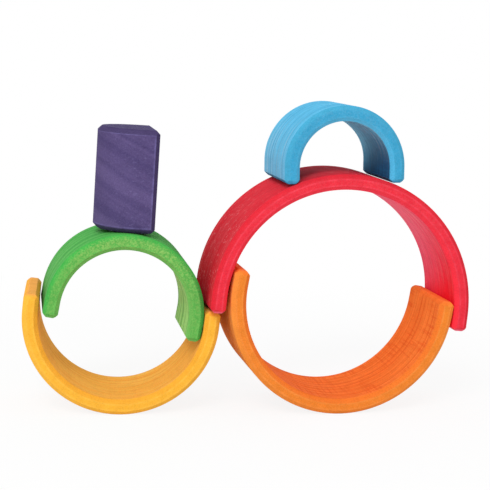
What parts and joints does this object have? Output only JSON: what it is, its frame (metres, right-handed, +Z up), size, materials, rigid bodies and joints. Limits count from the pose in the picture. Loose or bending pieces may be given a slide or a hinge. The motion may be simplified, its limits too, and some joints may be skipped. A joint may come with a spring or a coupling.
{
  "type": "rainbow stacker",
  "caption": "Wooden rainbow stacker: five nesting bevelled arches and a solid half-round core, dyed in rainbow colours and built up as two leaning rings with the core and the smallest arch on top.",
  "frame": {"origin": "on the floor, below the middle of the stack's bounding box", "axes": "+X to the viewer's right along the two rings, +Y away from the viewer, +Z up"},
  "size_m": [0.2914, 0.1012, 0.1982],
  "materials": {
    "red": "dyed satin wood",
    "orange": "dyed satin wood",
    "yellow": "dyed satin wood",
    "green": "dyed satin wood",
    "blue": "dyed satin wood",
    "purple": "dyed satin wood"
  },
  "bodies": {
    "orange_arch": {"orange_arch": "orange"},
    "red_arch": {"red_arch": "red"},
    "blue_arch": {"blue_arch": "blue"},
    "yellow_arch": {"yellow_arch": "yellow"},
    "green_arch": {"green_arch": "green"},
    "purple_core": {"purple_core": "purple"}
  },
  "joints": [
    {"name": "red_lift", "type": "slide", "parent": "orange_arch", "child": "red_arch", "axis": [0.0856, 0.0166, 0.9962], "range_m": [0, 0.12]},
    {"name": "blue_lift", "type": "slide", "parent": "red_arch", "child": "blue_arch", "axis": [-0.0171, -0.0033, 0.9998], "range_m": [0, 0.1]},
    {"name": "yellow_slide", "type": "slide", "parent": "orange_arch", "child": "yellow_arch", "axis": [-1, 0, 0], "range_m": [0, 0.15]},
    {"name": "green_draw", "type": "slide", "parent": "yellow_arch", "child": "green_arch", "axis": [0.1132, -0.9936, 0], "range_m": [0, 0.1]},
    {"name": "core_lift", "type": "slide", "parent": "green_arch", "child": "purple_core", "axis": [0.0431, 0.0067, 0.999], "range_m": [0, 0.1]}
  ]
}
